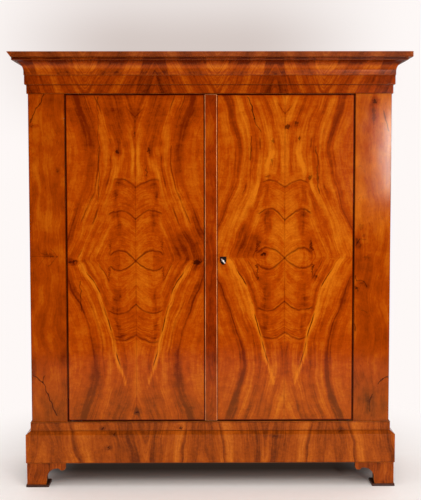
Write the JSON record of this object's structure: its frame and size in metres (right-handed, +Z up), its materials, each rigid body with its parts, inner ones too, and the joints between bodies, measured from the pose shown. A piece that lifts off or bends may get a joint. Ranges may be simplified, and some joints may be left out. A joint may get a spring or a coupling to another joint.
{
  "type": "two-door cupboard",
  "caption": "Free-standing veneered wardrobe cupboard with a cove cornice, flat matched-veneer leaves, a closing strip, a lock with key, shelves and bracket feet.",
  "frame": {"origin": "on the floor, under the middle of the overall box", "axes": "+Z up, front towards -Y, +X to the right as seen from the front"},
  "size_m": [1.778, 0.599, 1.95],
  "materials": {
    "walnut_veneer": "figured walnut veneer, shellac polished, glossy",
    "door_veneer": "crotch-figured veneer in four matched leaves, shellac polished, glossy",
    "softwood": "aged softwood, bare and planed",
    "ebonised_wood": "stained black and polished",
    "iron": "wrought, dark and oiled",
    "key_steel": "worn bright steel"
  },
  "bodies": {
    "carcass": {"pivot_plates": "iron", "carcass_screws": "iron", "frieze_front": "walnut_veneer", "frieze_left": "walnut_veneer", "frieze_right": "walnut_veneer", "cove_front": "walnut_veneer", "cove_left": "walnut_veneer", "cove_right": "walnut_veneer", "cornice_slab": "walnut_veneer", "top_board": "softwood", "cornice_back_rail": "softwood", "base_cap_front": "walnut_veneer", "base_cap_left": "walnut_veneer", "base_cap_right": "walnut_veneer", "base_board": "softwood", "plinth_front": "walnut_veneer", "plinth_left": "walnut_veneer", "plinth_right": "walnut_veneer", "plinth_back": "softwood", "front_left_foot": "walnut_veneer", "front_right_foot": "walnut_veneer", "rear_left_foot": "walnut_veneer", "rear_right_foot": "walnut_veneer", "foot_blocks": "softwood", "foot_pads": "ebonised_wood", "left_side_panel": "walnut_veneer", "right_side_panel": "walnut_veneer", "left_pilaster": "walnut_veneer", "right_pilaster": "walnut_veneer", "back_boards": "softwood", "lower_shelf": "softwood", "middle_shelf": "softwood", "upper_shelf": "softwood", "shelf_cleats": "softwood", "door_stops": "softwood"},
    "left_door": {"left_door_pivots": "iron", "left_door_hinge_stile": "softwood", "left_door_meeting_stile": "softwood", "left_door_rails": "softwood", "left_door_panel": "softwood", "left_door_veneer": "door_veneer", "left_door_screws": "iron", "strike_plate": "iron", "bolt_guides": "iron"},
    "right_door": {"right_door_pivots": "iron", "right_door_hinge_stile": "softwood", "right_door_meeting_stile": "softwood", "right_door_rails": "softwood", "right_door_panel": "softwood", "right_door_veneer": "door_veneer", "right_door_screws": "iron", "closing_strip": "walnut_veneer", "escutcheon": "ebonised_wood", "lock_case": "iron", "lock_plate": "iron"},
    "key": {"key": "key_steel"},
    "lock_bolt": {"lock_bolt": "iron"},
    "upper_bolt": {"upper_bolt": "iron"},
    "lower_bolt": {"lower_bolt": "iron"}
  },
  "joints": [
    {"name": "left_door_hinge", "type": "hinge", "parent": "carcass", "child": "left_door", "pos_m": [-0.627, -0.209, 1.026], "axis": [0, 0, -1], "range_deg": [0, 110]},
    {"name": "right_door_hinge", "type": "hinge", "parent": "carcass", "child": "right_door", "pos_m": [0.627, -0.209, 1.026], "axis": [0, 0, 1], "range_deg": [0, 110]},
    {"name": "key_turn", "type": "hinge", "parent": "right_door", "child": "key", "pos_m": [0.05825, -0.2178, 1.026], "axis": [0, -1, 0], "range_deg": [-40, 320]},
    {"name": "lock_bolt_slide", "type": "slide", "parent": "right_door", "child": "lock_bolt", "axis": [-1, 0, 0], "range_m": [-0.0011, 0.0088]},
    {"name": "upper_bolt_slide", "type": "slide", "parent": "left_door", "child": "upper_bolt", "axis": [0, 0, 1], "range_m": [0, 0.011]},
    {"name": "lower_bolt_slide", "type": "slide", "parent": "left_door", "child": "lower_bolt", "axis": [0, 0, -1], "range_m": [0, 0.011]}
  ],
  "couplings": [
    {"joint": "key_turn", "follows": "lock_bolt_slide", "rad_per_m": 628.32}
  ]
}
